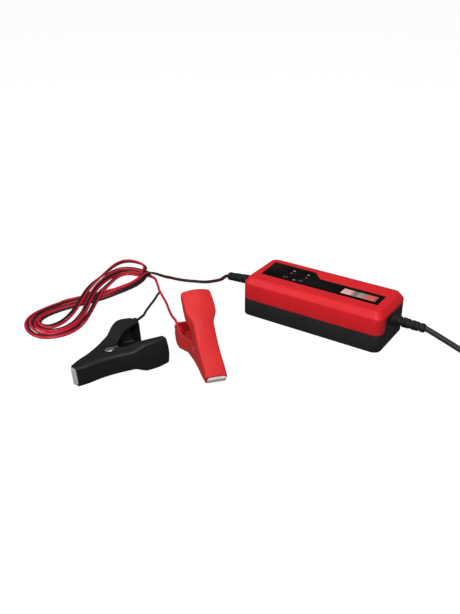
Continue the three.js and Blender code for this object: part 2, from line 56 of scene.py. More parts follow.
def make_camera():
    azimuth = math.radians(CAMERA_AZIMUTH)
    elevation = math.radians(CAMERA_ELEVATION)
    level = math.cos(elevation)
    back = Vector((math.sin(azimuth) * level, -math.cos(azimuth) * level, math.sin(elevation)))
    right = Vector((0, 0, 1)).cross(back).normalized()
    up = back.cross(right)
    turn = Matrix((right, up, back)).transposed().to_4x4()
    data = bpy.data.cameras.new("camera")
    data.lens = CAMERA_LENS
    data.sensor_width = 36.0
    data.clip_start = 0.01
    data.clip_end = 50.0
    camera = bpy.data.objects.new("camera", data)
    camera.matrix_world = Matrix.Translation(CAMERA_PLACE) @ turn
    bpy.context.scene.collection.objects.link(camera)
    bpy.context.scene.camera = camera
    return np.array(back)


TOWARDS_CAMERA = make_camera()


# ---------- mesh helpers, all in millimetres ----------
def new_object(name, points, faces, smooth_angle=40.0):
    mesh = bpy.data.meshes.new(name)
    mesh.from_pydata([tuple(float(c) * MM for c in p) for p in points], [], faces)
    mesh.validate()
    thing = bpy.data.objects.new(name, mesh)
    bpy.context.scene.collection.objects.link(thing)
    tidy_normals(thing, smooth_angle)
    return thing


def tidy_normals(thing, smooth_angle=40.0):
    work = bmesh.new()
    work.from_mesh(thing.data)
    bmesh.ops.recalc_face_normals(work, faces=work.faces)
    work.to_mesh(thing.data)
    work.free()
    thing.data.shade_smooth()
    thing.data.set_sharp_from_angle(angle=math.radians(smooth_angle))


def applied(thing, smooth_angle=40.0):
    """Bakes the modifiers of a thing into its mesh."""
    graph = bpy.context.evaluated_depsgraph_get()
    mesh = bpy.data.meshes.new_from_object(thing.evaluated_get(graph))
    thing.modifiers.clear()
    thing.data = mesh
    tidy_normals(thing, smooth_angle)
    return thing


def combine(thing, other, operation):
    change = thing.modifiers.new("combine", "BOOLEAN")
    change.operation = operation
    change.solver = "EXACT"
    change.object = other
    applied(thing)
    bpy.data.objects.remove(other)
    return thing


def soften(thing, width, segments=2, angle=35.0):
    change = thing.modifiers.new("soften", "BEVEL")
    change.width = width * MM
    change.segments = segments
    change.limit_method = "ANGLE"
    change.angle_limit = math.radians(angle)
    change.use_clamp_overlap = True
    return applied(thing)


def block(name, x0, x1, y0, y1, z0, z1):
    points = [(x, y, z) for x in (x0, x1) for y in (y0, y1) for z in (z0, z1)]
    faces = [(0, 1, 3, 2), (4, 6, 7, 5), (0, 4, 5, 1), (2, 3, 7, 6), (0, 2, 6, 4), (1, 5, 7, 3)]
    return new_object(name, points, faces)


def stack(name, rings, closed=True, smooth_angle=40.0):
    """Skin over rings of equal point count; the first and last are capped when closed."""
    count = len(rings[0])
    points = [p for ring in rings for p in ring]
    faces = []
    for r in range(len(rings) - 1):
        for i in range(count):
            j = (i + 1) % count
            faces.append((r * count + i, r * count + j, (r + 1) * count + j, (r + 1) * count + i))
    if closed:
        faces.append(tuple(range(count - 1, -1, -1)))
        last = (len(rings) - 1) * count
        faces.append(tuple(range(last, last + count)))
    return new_object(name, points, faces, smooth_angle)


def looped(name, rings, smooth_angle=40.0):
    """Skin over rings whose last joins the first, such as a tube bent into a ring."""
    count = len(rings[0])
    total = len(rings)
    points = [p for ring in rings for p in ring]
    faces = []
    for r in range(total):
        s = (r + 1) % total
        for i in range(count):
            j = (i + 1) % count
            faces.append((r * count + i, r * count + j, s * count + j, s * count + i))
    return new_object(name, points, faces, smooth_angle)


def circle(count, radius, z=0.0):
    angles = np.arange(count) * 2 * math.pi / count
    return [(radius * math.cos(a), radius * math.sin(a), z) for a in angles]


def turned(name, profile, count=36, smooth_angle=40.0):
    """Solid of revolution about Z from (radius, height) points."""
    rings = [circle(count, max(r, 0.02), z) for r, z in profile]
    return stack(name, rings, True, smooth_angle)


def move(thing, matrix):
    scaled = matrix.copy()
    scaled.translation = matrix.translation * MM
    thing.data.transform(scaled)
    return thing


def curve_through(points, spacing):
    """Even points on a smooth curve through given ones."""
    p = np.array(points, float)
    ext = np.vstack([2 * p[0] - p[1], p, 2 * p[-1] - p[-2]])
    fine = []
    for i in range(1, len(ext) - 2):
        a, b, c, d = ext[i - 1], ext[i], ext[i + 1], ext[i + 2]
        for t in np.linspace(0, 1, 24, endpoint=False):
            part = 2 * b + (c - a) * t + (2 * a - 5 * b + 4 * c - d) * t**2
            fine.append(0.5 * (part + (3 * b - a - 3 * c + d) * t**3))
    fine.append(p[-1])
    return evened(np.array(fine), spacing)


def evened(points, spacing):
    steps = np.linalg.norm(np.diff(points, axis=0), axis=1)
    run = np.concatenate([[0], np.cumsum(steps)])
    count = max(2, int(round(run[-1] / spacing)))
    wanted = np.linspace(0, run[-1], count + 1)
    return np.stack([np.interp(wanted, run, points[:, k]) for k in range(3)], axis=1)


def tangents(points):
    t = np.gradient(points, axis=0)
    return t / np.linalg.norm(t, axis=1)[:, None]


def tube(name, points, radius, sides=12):
    """Round tube along points, with lightly rounded ends."""
    t = tangents(points)
    side = np.cross(t[0], (0.0, 0.0, 1.0))
    if np.linalg.norm(side) < 0.1:
        side = np.cross(t[0], (0.0, 1.0, 0.0))
    rings = []
    angles = np.arange(sides) * 2 * math.pi / sides
    total = len(points)
    for i in range(total):
        side = side - t[i] * side.dot(t[i])
        side /= np.linalg.norm(side)
        other = np.cross(t[i], side)
        rings.append(points[i] + radius * (np.outer(np.cos(angles), side) + np.outer(np.sin(angles), other)))
    first = points[0] + (rings[0] - points[0]) * 0.8 - t[0] * radius * 0.2
    last = points[-1] + (rings[-1] - points[-1]) * 0.8 + t[-1] * radius * 0.2
    return stack(name, [first] + rings + [last], True, 60.0)


# ---------- materials ----------
def linear(r, g, b):
    def channel(value):
        value /= 255.0
        return value / 12.92 if value <= 0.04045 else ((value + 0.055) / 1.055) ** 2.4

    return (channel(r), channel(g), channel(b), 1.0)


class Nodes:
    """Short-hand for building one material's nodes."""

    def __init__(self, name):
        self.material = bpy.data.materials.new(name)
        self.material.use_nodes = True
        self.tree = self.material.node_tree
        self.shader = self.tree.nodes["Principled BSDF"]
        self.place = self.tree.nodes.new("ShaderNodeTexCoord").outputs["Object"]

    def link(self, source, target):
        self.tree.links.new(source, target)

    def node(self, kind, **values):
        made = self.tree.nodes.new(kind)
        for key, value in values.items():
            setattr(made, key, value)
        return made

    def noise(self, scale, detail=3.0, rough=0.55, stretch=None):
        made = self.node("ShaderNodeTexNoise")
        made.inputs["Scale"].default_value = scale
        made.inputs["Detail"].default_value = detail
        made.inputs["Roughness"].default_value = rough
        place = self.place
        if stretch:
            mapping = self.node("ShaderNodeMapping")
            mapping.inputs["Scale"].default_value = stretch
            self.link(place, mapping.inputs["Vector"])
            place = mapping.outputs["Vector"]
        self.link(place, made.inputs["Vector"])
        return made.outputs["Fac"]

    def ranged(self, value, low, high, from_low=0.3, from_high=0.7):
        made = self.node("ShaderNodeMapRange")
        made.inputs["From Min"].default_value = from_low
        made.inputs["From Max"].default_value = from_high
        made.inputs["To Min"].default_value = low
        made.inputs["To Max"].default_value = high
        self.link(value, made.inputs["Value"])
        return made.outputs["Result"]

    def mixed(self, factor, first, second):
        made = self.node("ShaderNodeMix", data_type="RGBA")
        for socket, value in ((6, first), (7, second)):
            if isinstance(value, tuple):
                made.inputs[socket].default_value = value
            else:
                self.link(value, made.inputs[socket])
        self.link(factor, made.inputs[0])
        return made.outputs[2]

    def bump(self, value, distance, strength=1.0, under=None):
        made = self.node("ShaderNodeBump")
        made.inputs["Distance"].default_value = distance
        made.inputs["Strength"].default_value = strength
        self.link(value, made.inputs["Height"])
        if under is not None:
            self.link(under, made.inputs["Normal"])
        return made.outputs["Normal"]


def shade(colour, share):
    return tuple(c * share for c in colour[:3]) + (1.0,)


def surface(
    name,
    colour,
    roughness=0.45,
    metallic=0.0,
    vary=0.08,
    grain=2600.0,
    grain_depth=0.00003,
    wave_depth=0.0,
    rough_vary=0.06,
    coat=0.0,
    specular=0.5,
    stretch=None,
):
    """Moulded plastic, rubber or metal: slow tone changes, fine grain and uneven gloss."""
    n = Nodes(name)
    n.shader.inputs["Metallic"].default_value = metallic
    n.shader.inputs["Specular IOR Level"].default_value = specular
    n.shader.inputs["Coat Weight"].default_value = coat
    n.shader.inputs["Coat Roughness"].default_value = 0.12
    slow = n.noise(45.0, 2.0)
    tone = n.mixed(n.ranged(slow, 0.0, 1.0), shade(colour, 1 - vary), shade(colour, 1 + vary))
    n.link(tone, n.shader.inputs["Base Color"])
    patch = n.noise(160.0, 4.0, 0.6, stretch)
    n.link(n.ranged(patch, roughness - rough_vary, roughness + rough_vary), n.shader.inputs["Roughness"])
    normal = n.bump(n.noise(grain, 2.0, 0.5, stretch), grain_depth, 0.6)
    if wave_depth:
        normal = n.bump(n.noise(90.0, 1.0), wave_depth, 1.0, normal)
    n.link(normal, n.shader.inputs["Normal"])
    return n.material


# Slot: colour, roughness, then what differs from a plain surface.
GLOSSY = {"coat": 0.5, "grain_depth": 0.000005}
FINISHES = {
    "red_plastic": (
        (206, 33, 40),
        0.42,
        {"vary": 0.04, "grain": 1800, "wave_depth": 0.00004, "specular": 0.16},
    ),
    "black_plastic": (
        (33, 33, 33),
        0.52,
        {"vary": 0.1, "grain": 1500, "grain_depth": 0.00005, "specular": 0.14},
    ),
    "red_lens": ((120, 34, 34), 0.2, {"coat": 0.3, "grain_depth": 0.000005}),
    "green_lens": ((96, 128, 100), 0.2, {"coat": 0.3, "grain_depth": 0.000005}),
    "clear_lens": ((118, 112, 110), 0.25, {"coat": 0.3, "grain_depth": 0.000005}),
    "zinc_steel": ((176, 178, 182), 0.32, {"metallic": 1, "vary": 0.15, "grain_depth": 0.00001}),
    "board_laminate": ((38, 104, 58), 0.42, {"vary": 0.18, "coat": 0.3}),
    "ferrite": ((52, 51, 50), 0.7, {"vary": 0.25, "grain": 900, "grain_depth": 0.00006}),
    "copper_enamel": ((184, 98, 42), 0.3, {"metallic": 0.8, "vary": 0.2, "stretch": (1, 1, 14)}),
    "aluminium": ((196, 198, 202), 0.35, {"metallic": 1, "vary": 0.1, "stretch": (1, 1, 0.08)}),
    "component_black": ((34, 34, 35), 0.5, {"vary": 0.2}),
    "capacitor_sleeve": ((38, 46, 78), 0.25, {"vary": 0.12, "coat": 0.4}),
    "fuse_glass": ((206, 212, 210), 0.08, {"vary": 0.1, **GLOSSY}),
    "relief_rubber": (
        (29, 29, 30),
        0.5,
        {"vary": 0.14, "grain": 1300, "grain_depth": 0.00005, "specular": 0.14},
    ),
    "mains_sheath": (
        (42, 42, 44),
        0.45,
        {"vary": 0.14, "grain": 1100, "wave_depth": 0.00008, "specular": 0.18},
    ),
    "tie_plastic": (
        (32, 32, 33),
        0.55,
        {"vary": 0.15, "grain": 1500, "grain_depth": 0.00006, "specular": 0.25},
    ),
    "plug_plastic": (
        (38, 38, 39),
        0.5,
        {"vary": 0.1, "grain": 1300, "grain_depth": 0.00006, "specular": 0.25},
    ),
    "plated_brass": ((206, 203, 196), 0.22, {"metallic": 1, "vary": 0.08, "stretch": (8, 8, 1)}),
    "lead_black": (
        (46, 28, 31),
        0.38,
        {"vary": 0.16, "grain": 1200, "wave_depth": 0.0001, "specular": 0.25},
    ),
    "lead_red": ((190, 26, 48), 0.36, {"vary": 0.1, "grain": 1200, "wave_depth": 0.0001, "specular": 0.3}),
    "clamp_black_plastic": (
        (27, 27, 27),
        0.42,
        {"vary": 0.12, "grain": 1400, "wave_depth": 0.0001, "specular": 0.2},
    ),
    "clamp_red_plastic": (
        (199, 42, 44),
        0.42,
        {"vary": 0.05, "grain": 1400, "wave_depth": 0.0001, "specular": 0.16},
    ),
    "jaw_steel": (
        (226, 226, 224),
        0.36,
        {"metallic": 0.45, "vary": 0.1, "grain": 700, "stretch": (1, 6, 1)},
    ),
    "pin_steel": ((206, 206, 206), 0.3, {"metallic": 1, "vary": 0.1, "grain_depth": 0.00001}),
    "spring_steel": ((96, 98, 102), 0.4, {"metallic": 1, "vary": 0.15, "grain": 900}),
}
MATERIALS = {}
for finish, (rgb, rough, more) in FINISHES.items():
    MATERIALS[finish] = surface(finish, linear(*rgb), rough, **more)


def dress(thing, body, slot, replaced=(), material=None):
    thing.data.materials.clear()
    thing.data.materials.append(material or MATERIALS[slot])
    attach(thing, body)
    if replaced:
        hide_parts(*replaced)
    return thing


# ---------- clamp places ----------
CLAMPS = {
    "black": {"tip": (-124.7, -222.4, 9.95), "roll": 0.0, "pitch": 4.4, "heading": 76.4},
    "red": {"tip": (-24.0, -153.2, 5.25), "roll": -86.5, "pitch": 20.3, "heading": 142.3},
}


def clamp_matrix(colour):
    place = CLAMPS[colour]
    turn = Matrix.Rotation(math.radians(place["heading"]), 4, "Z")
    turn @= Matrix.Rotation(math.radians(-place["pitch"]), 4, "Y")
    turn @= Matrix.Rotation(math.radians(place["roll"]), 4, "X")
    return Matrix.Translation(place["tip"]) @ turn


# ---------- mains lead ----------
COIL = {"x": 183.0, "y": 35.0, "radius": 30.0, "half": 8.1, "z": 1.2}
MAINS_CORD = 5.4
MAINS_START = [(105.5, 0, 23.8), (107.9, 0, 23.6), (115, 0, 21.4), (121.5, 0, 19.2), (131, 0, 15.9)]
MAINS_START += [(141, 0, 12.3), (149, -0.1, 9), (156, -0.3, 6.3), (162.6, -0.4, 4.7), (171, -0.4, 4.0)]
MAINS_LAST = [(180.4, 5.1, 20.5), (188.2, 5.5, 20.5), (195.7, 7.8, 20.7), (202.3, 12, 21.6)]
MAINS_LAST += [(206.6, 16.4, 23), (209.3, 20, 24.3), (210.4, 26, 24.7)]


def mains_route():
    """The lead's straight stretch, the layers of its coil, then the end that lies on the coil."""
    columns = [35.4, 30.0, 24.6]
    layers = [3.9, 9.3, 14.7]
    order = [(0, 0), (1, 0), (2, 0), (2, 1), (1, 1), (0, 1), (0, 2), (1, 2)]
    per_turn = 48
    route = [Vector(p) for p in MAINS_START]
    for turn, (column, layer) in enumerate(order):
        after = order[min(turn + 1, len(order) - 1)]
        last = turn == len(order) - 1
        for i in range(per_turn - (4 if last else 0)):
            share = i / per_turn
            change = min(max((share - 0.8) / 0.2, 0.0), 1.0)
            change = change * change * (3 - 2 * change)
            radius = columns[column] + (columns[after[0]] - columns[column]) * change
            z = layers[layer] + (layers[after[1]] - layers[layer]) * change
            if last:
                z += 5.0 * change
            angle = -math.pi / 2 + 2 * math.pi * share
            x = COIL["x"] + radius * math.cos(angle)
            y = COIL["y"] + radius * math.sin(angle)
            route.append(Vector((x, y, z)))
    route += [Vector(p) for p in MAINS_LAST]
    return curve_through(route, 2.6)


mains_points = mains_route()
mains_cord = dress(
    tube("mains_cord", mains_points, MAINS_CORD / 2, 14),
    ROOT,
    "mains_sheath",
    ["mains_cord_run", "mains_coil", "mains_cord_end"],
)

# ---------- twin lead: red and black conductors side by side ----------
WIRE = 2.6
TWIN_START = [(-107.5, 0, 21.3), (-112.3, 0, 20.8), (-115.2, 0, 19.6), (-121.5, 0.4, 14), (-129, 0.8, 10.2)]
TWIN_START += [(-137.5, 1.2, 6.6), (-146, 1.2, 4), (-155, 0, 2.8), (-166.5, -4.6, 2.8), (-178, -7.2, 2.8)]
TWIN_START += [(-189, -8.8, 3.4), (-198, -10.2, 5.8), (-205.4, -11.4, 8.2)]
TWIN_END = [(-205.2, -14.6, 2.7), (-200.3, -17.7, 2.7), (-194, -22.4, 2.7), (-187.1, -28.8, 2.7)]
TWIN_END += [(-180.6, -35, 2.7), (-174.6, -40.9, 2.7)]
BLACK_END = [(-172.2, -47.8, 1.5), (-169.3, -54.4, 1.6), (-163.6, -66, 3.6), (-154.7, -82.5, 8.2)]
BLACK_END += [(-144, -100.8, 14), (-135, -114.8, 18.7), (-127.6, -126.6, 24.2), (-124.5, -133, 26.4)]
BLACK_END += [(-123.9, -138.2, 26.7)]
RED_END = [(-167.2, -45.9, 1.5), (-159.1, -52.4, 1.8), (-147.6, -63, 4.3), (-132.5, -78.6, 8.4)]
RED_END += [(-117.6, -93.2, 12.8), (-107.6, -102.2, 16.4), (-102, -107.2, 18.2), (-97.6, -110.8, 16.9)]
# Inside each wired lever, in the clamp's own frame: through the boss, then under the jaw's channel.
INSIDE_LEVER = [(78.5, 19.0, 10.4), (73.0, 19.0, 10.2), (67.5, 19.2, 8.0), (62.0, 19.4, 3.4)]
INSIDE_LEVER += [(57.0, 19.2, 0.4), (51.0, 17.4, -1.0), (46.0, 14.8, -1.2)]

# One turn of the bundle from its upper right corner. The first is outermost in the upper lobe and
# innermost in the lower one, the second the other way round, so that strands cross as flat bands.
UPPER_WIDE_TURN = [(-214, -10), (-206, -29), (-204, -48), (-208, -68), (-215, -88), (-225, -107)]
UPPER_WIDE_TURN += [(-234, -126), (-239, -143), (-239, -156), (-235, -164), (-226, -167)]
UPPER_WIDE_TURN += [(-217, -163), (-213, -150), (-216, -136), (-221, -121), (-229, -103)]
UPPER_WIDE_TURN += [(-239, -82), (-249, -59), (-258, -35), (-264, -12), (-259, 3), (-244, 6), (-227, 3)]
LOWER_WIDE_TURN = [(-215, -24), (-212, -34), (-215, -48), (-221, -66), (-229, -84), (-238, -101)]
LOWER_WIDE_TURN += [(-246, -119), (-250, -137), (-252, -153), (-246, -168), (-229, -181)]
LOWER_WIDE_TURN += [(-207, -185), (-193, -171), (-191, -152), (-198, -131), (-208, -110)]
LOWER_WIDE_TURN += [(-219, -89), (-229, -66), (-235, -46), (-237, -32), (-233, -24), (-226, -20), (-219, -20)]
TURN_WIDTHS = [0.6, 1.0, 0.0, 0.32]
HANK_SPACING = 2.6


def hank_centre():
    wide = np.array(UPPER_WIDE_TURN, float)
    narrow = np.array(LOWER_WIDE_TURN, float)
    route = []
    for turn, width in enumerate(TURN_WIDTHS):
        for i in range(len(wide)):
            share = min(max(width + 0.14 * math.sin(i * 0.83 + 2.3 * turn), 0.0), 1.0)
            x, y = narrow[i] + (wide[i] - narrow[i]) * share
            crossing_up = math.exp(-(((i - 15.8) / 1.8) ** 2))
            crossing_down = math.exp(-(((i - 4.8) / 1.8) ** 2))
            z = 2.2 + 1.9 * (turn % 2) + 4.6 * crossing_up - 0.6 * crossing_down
            if turn == 0 and i < 4:
                z = 8.0 - i
            if turn == len(TURN_WIDTHS) - 1 and i > len(wide) - 4:
                z = 2.8
            route.append((x, y, z))
    return route


def pair_offsets(points, facing, hank_from, hank_to):
    """Direction from the red conductor to the black one: set outside the bundle, twisting in it."""
    t = tangents(points)
    up = np.array([0.0, 0.0, 1.0])
    offsets = np.zeros_like(points)
    for i in range(len(points)):
        level = np.cross(up, t[i])
        level /= np.linalg.norm(level)
        twist = 0.9 * math.sin(i * 0.071) + 0.5 * math.sin(i * 0.029 + 1.0)
        inside = level * math.cos(twist) + np.cross(t[i], level) * math.sin(twist)
        view = facing - t[i] * facing.dot(t[i])
        view /= np.linalg.norm(view)
        if i < hank_from:
            blend = max(0.0, (i - hank_from + 8) / 8)
            offset = view * (1 - blend) + inside * blend
        elif i > hank_to:
            blend = max(0.0, (hank_to + 8 - i) / 8)
            offset = -view * (1 - blend) + inside * blend
        else:
            offset = inside
        offset -= t[i] * offset.dot(t[i])
        offsets[i] = offset / max(np.linalg.norm(offset), 1e-6)
    return offsets


def settle(pair, free, rounds):
    """Lets the two conductors drop and pushes crossing strands apart until they lie on each other."""
    first = pair.copy()
    count = pair.shape[1]
    index = np.concatenate([np.arange(count), np.arange(count)])
    near = np.abs(index[:, None] - index[None, :]) < 6
    loose = free[None, :, None]
    clear = WIRE * 1.02
    for step in range(rounds):
        finishing = step > rounds - 12
        if not finishing:
            bend = np.zeros_like(pair)
            bend[:, 1:-1] = pair[:, :-2] + pair[:, 2:] - 2 * pair[:, 1:-1]
            pair += loose * (0.22 * bend + 0.02 * (first - pair))
            pair[:, :, 2] -= free[None, :] * 0.05
        gap = pair[1] - pair[0]
        length = np.linalg.norm(gap, axis=1)[:, None]
        fix = gap / length * (length - WIRE) * 0.5
        pair[0] += fix * free[:, None]
        pair[1] -= fix * free[:, None]
        flat = pair.reshape(-1, 3)
        apart = flat[:, None, :] - flat[None, :, :]
        distance = np.sqrt((apart**2).sum(2)) + 1e-6
        touching = (distance < clear) & ~near
        push = np.where(touching, (clear - distance) / distance * 0.5, 0.0)
        shift = (apart * push[:, :, None]).sum(1)
        contacts = np.maximum(touching.sum(1), 1)[:, None] ** 0.6
        pair += loose * (shift / contacts).reshape(pair.shape)
        low = WIRE / 2 + 0.05
        pair[:, :, 2] = np.where(free[None, :] > 0, np.maximum(pair[:, :, 2], low), pair[:, :, 2])
    return pair


def inside_lever(colour):
    matrix = clamp_matrix(colour)
    return [tuple(matrix @ Vector(p)) for p in INSIDE_LEVER]


def twin_lead():
    lead = curve_through(TWIN_START, HANK_SPACING)
    hank = hank_centre()
    whole = curve_through(TWIN_START + hank + TWIN_END, HANK_SPACING)
    total = len(whole)
    hank_from = len(lead) - 2
    tail = len(curve_through(TWIN_END, HANK_SPACING))
    hank_to = total - tail - 1
    offsets = pair_offsets(whole, TOWARDS_CAMERA + np.array([0, 0, 0.35]), hank_from, hank_to)
    pair = np.stack([whole + offsets * WIRE / 2, whole - offsets * WIRE / 2])
    free = np.zeros(total)
    free[hank_from - 3 : hank_to + 4] = 1.0
    free[hank_from - 6 : hank_from - 3] = 0.5
    pair = settle(pair, free, 110)
    black = curve_through(list(pair[0][::2]) + BLACK_END + inside_lever("black"), 2.0)
    red = curve_through(list(pair[1][::2]) + RED_END + inside_lever("red"), 2.0)
    return black, red


black_points, red_points = twin_lead()
black_lead = dress(
    tube("black_lead", black_points, WIRE / 2, 12),
    ROOT,
    "lead_black",
    ["twin_lead_run", "twin_lead_hank", "twin_lead_tail", "black_wire"],
)
red_lead = dress(
    tube("red_lead", red_points, WIRE / 2, 12),
    ROOT,
    "lead_red",
    ["twin_lead_run", "twin_lead_hank", "twin_lead_tail", "red_wire"],
)

# ---------- strain reliefs ----------
GLAND_Z = 24.2


def strain_relief(name, side, droop, length):
    """Ribbed sleeve; each groove is bridged twice and the bridges turn a quarter at the next one."""
    count = 48
    grooves = 6
    root = 5.25
    tip = root - 1.0
    pitch = (length - 6.0) / grooves
    flange = [(7.3, -5.9), (7.3, -3.3), (4.5, -3.2), (4.5, -0.2)]
    flange += [(6.2, 0.1), (6.5, 0.35), (6.5, 1.3), (6.2, 1.6)]
    rings = [circle(count, radius, z) for radius, z in flange]
    start = 1.7
    stations = np.linspace(start, length - 1.0, 110)
    for x in stations:
        share = (x - start) / (length - start)
        outer = root + (tip - root) * share
        place = (x - start) / pitch
        groove = int(place)
        within = place - groove
        depth = 0.0
        if groove < grooves and 0.52 < within < 0.98:
            depth = min(1.0, (within - 0.52) / 0.08, (0.98 - within) / 0.08)
        ring = []
        for i in range(count):
            angle = 2 * math.pi * i / count
            bridge = abs(math.cos(angle + (math.pi / 2 if groove % 2 else 0.0)))
            cut_in = 1.15 * depth * (0.0 if bridge > 0.88 else min(1.0, (0.88 - bridge) / 0.06))
            radius = outer - cut_in
            ring.append((radius * math.cos(angle), radius * math.sin(angle), x))
        rings.append(ring)
    for inset, back in ((0.15, 0.7), (0.6, 0.15), (1.0, 0.0)):
        rings.append(circle(count, tip - inset, length - back))
    thing = stack(name, rings, True, 50.0)
    turn = Matrix.Rotation(math.pi / 2, 4, "Y")
    holder = Matrix.Rotation(0.0 if side > 0 else math.pi, 4, "Z")
    holder @= Matrix.Rotation(math.radians(droop), 4, "Y")
    move(thing, Matrix.Translation((side * 75.0, 0, GLAND_Z)) @ holder @ turn)
    return thing


dress(strain_relief("mains_relief", 1, 1, 32.0), ROOT, "relief_rubber", ["mains_strain_relief"])
dress(strain_relief("dc_relief", -1, 5, 36.0), ROOT, "relief_rubber", ["dc_strain_relief"])

# ---------- case ----------
CASE = {"length": 150.0, "width": 62.0, "height": 41.5, "corner": 7.8, "wall": 2.2}
SEAM_Z = 18.2
TONGUE_NEAR = -17.0
TONGUE_FAR = 23.0
TONGUE_TOP = 31.2


def outline(inset, z, corner_steps=12):
    radius = CASE["corner"] - 0.3 * inset
    half_x = CASE["length"] / 2 - inset - radius
    half_y = CASE["width"] / 2 - inset - radius
    points = []
    for sx, sy, start in ((1, 1, 0), (-1, 1, 90), (-1, -1, 180), (1, -1, 270)):
        for i in range(corner_steps + 1):
            angle = math.radians(start + 90 * i / corner_steps)
            x = sx * half_x + radius * math.cos(angle)
            y = sy * half_y + radius * math.sin(angle)
            points.append((x, y, z))
    return points


def hollow(name, outer, inner):
    """Open box from outer rings up to a cap and inner rings back to the rim."""
    rings = [outline(inset, z) for z, inset in outer + inner]
    return stack(name, rings, True, 30.0)


def upright(name, x, y, z0, z1, radius, count=32):
    thing = turned(name, [(radius, z0), (radius, z1)], count)
    return move(thing, Matrix.Translation((x, y, 0)))


def along_x(name, x0, x1, y, z, radius, count=48):
    thing = turned(name, [(radius, x0), (radius, x1)], count)
    return move(thing, Matrix.Translation((0, y, z)) @ Matrix.Rotation(math.pi / 2, 4, "Y"))


def screw_places(x=64.0, y=21.5):
    return [(-x, -y), (x, -y), (-x, y), (x, y)]


def end_plate(name, side, grow):
    """Round-shouldered plate of the lower shell that closes one end of the case."""
    near = TONGUE_NEAR - grow
    far = TONGUE_FAR + grow
    top = TONGUE_TOP + grow
    radius = 2.0
    points = [(near, SEAM_Z - 6), (far, SEAM_Z - 6)]
    for centre, start in ((far - radius, 0), (near + radius, 90)):
        for i in range(7):
            angle = math.radians(start + 15 * i)
            points.append((centre + radius * math.cos(angle), top - radius + radius * math.sin(angle)))
    x0, x1 = (72.8, 75.0) if grow == 0 else (72.4, 80.0)
    if side < 0:
        x0, x1 = -x1, -x0
    return stack(name, [[(x, y, z) for y, z in points] for x in (x0, x1)], True)


def lower_shell():
    wall = CASE["wall"]
    outer = [(0.0, 1.3), (0.12, 0.9), (0.4, 0.45), (0.8, 0.14), (1.3, 0.0), (SEAM_Z - 0.35, 0.0)]
    outer += [(SEAM_Z - 0.1, 0.1), (SEAM_Z, 0.35)]
    inner = [(SEAM_Z, wall - 0.1), (SEAM_Z - 0.3, wall), (3.0, wall), (2.2, wall + 0.6)]
    shell = hollow("case_bottom", outer, inner)
    for side in (-1, 1):
        combine(shell, end_plate("plate", side, 0.0), "UNION")
    for x, y in screw_places():
        combine(shell, upright("pillar", x, y, 1.8, 9.6, 3.8), "UNION")
        combine(shell, upright("counterbore", x, y, -1.0, 3.0, 3.1), "DIFFERENCE")
        combine(shell, upright("hole", x, y, -1.0, 12.0, 1.7), "DIFFERENCE")
    combine(shell, block("label_recess", -30.0, 30.0, -13.0, 13.0, -1.0, 0.3), "DIFFERENCE")
    for side in (-1, 1):
        gland = along_x("gland", side * 74.0 - 3.0, side * 74.0 + 3.0, 0.0, GLAND_Z, 5.4)
        combine(shell, gland, "DIFFERENCE")
    return soften(shell, 0.3, 2, 50.0)


def upper_shell():
    wall = CASE["wall"]
    height = CASE["height"]
    base = SEAM_Z + 0.3
    inside = [(height - wall, 5.3), (34.6, wall), (base + 0.3, wall), (base, wall - 0.1)]
    outside = [(base, 0.35), (base + 0.1, 0.1), (base + 0.35, 0.0), (34.2, 0.0), (34.9, 0.04), (35.4, 0.16)]
    outside += [(35.9, 0.4), (36.5, 0.78), (40.1, 3.2), (40.6, 3.58), (41.0, 3.98), (41.3, 4.5), (41.45, 5.1)]
    outside += [(height, 5.9)]
    shell = stack("case_top", [outline(inset, z) for z, inset in inside + outside], True, 30.0)
    for side in (-1, 1):
        combine(shell, end_plate("notch", side, 0.3), "DIFFERENCE")
    recess = [[(x, y, z) for x, y in panel_outline(0.3)] for z in (height - 1.1, height + 1.0)]
    combine(shell, stack("recess", recess), "DIFFERENCE")
    for x, y, _ in LIGHTS:
        combine(shell, upright("window", x, y, 36.0, height + 1.0, 1.9, 24), "DIFFERENCE")
    return soften(shell, 0.25, 2, 50.0)


# ---------- panel on top of the case ----------
LIGHTS = [(-38.0, 4.5, "red"), (-20.3, 3.0, "red"), (-21.0, 9.6, "green")]
LIGHTS += [(-28.3, -7.8, "clear"), (-37.6, 10.4, "clear")]
BADGE = {"x": 40.5, "y": -2.9, "length": 36.0, "width": 10.6}


def panel_outline(grow):
    return [
        (-63.0 - grow, -13.0 - grow),
        (63.0 + grow, -13.0 - grow),
        (63.0 + grow, 7.5 + grow),
        (-7.0 + grow * 0.4, 7.5 + grow),
        (-18.0 + grow * 0.4, 19.0 + grow),
        (-65.0 - grow, 19.0 + grow),
    ]


def badge_block(name, grow, z0, z1):
    half_x = BADGE["length"] / 2 + grow
    half_y = BADGE["width"] / 2 + grow
    x, y = BADGE["x"], BADGE["y"]
    return block(name, x - half_x, x + half_x, y - half_y, y + half_y, z0, z1)


def panel():
    top = CASE["height"] + 0.1
    film = stack("panel", [[(x, y, z) for x, y in panel_outline(0.0)] for z in (top - 0.9, top)], True)
    combine(film, badge_block("badge_window", 0.3, top - 2, top + 1), "DIFFERENCE")
    for x, y, _ in LIGHTS:
        combine(film, upright("window", x, y, top - 2, top + 1, 1.9, 24), "DIFFERENCE")
    return soften(film, 0.12, 2, 50.0)


def panel_material():
    """Black printed film: clear varnish over deep black, with faint dust-like unevenness."""
    n = Nodes("panel_black")
    n.shader.inputs["Specular IOR Level"].default_value = 0.06
    tone = n.mixed(n.ranged(n.noise(60.0), 0.0, 1.0), linear(3, 4, 3), linear(8, 9, 7))
    n.link(tone, n.shader.inputs["Base Color"])
    n.link(n.ranged(n.noise(220.0, 4.0), 0.26, 0.36), n.shader.inputs["Roughness"])
    n.link(n.bump(n.noise(900.0, 2.0), 0.00001, 0.4), n.shader.inputs["Normal"])
    return n.material


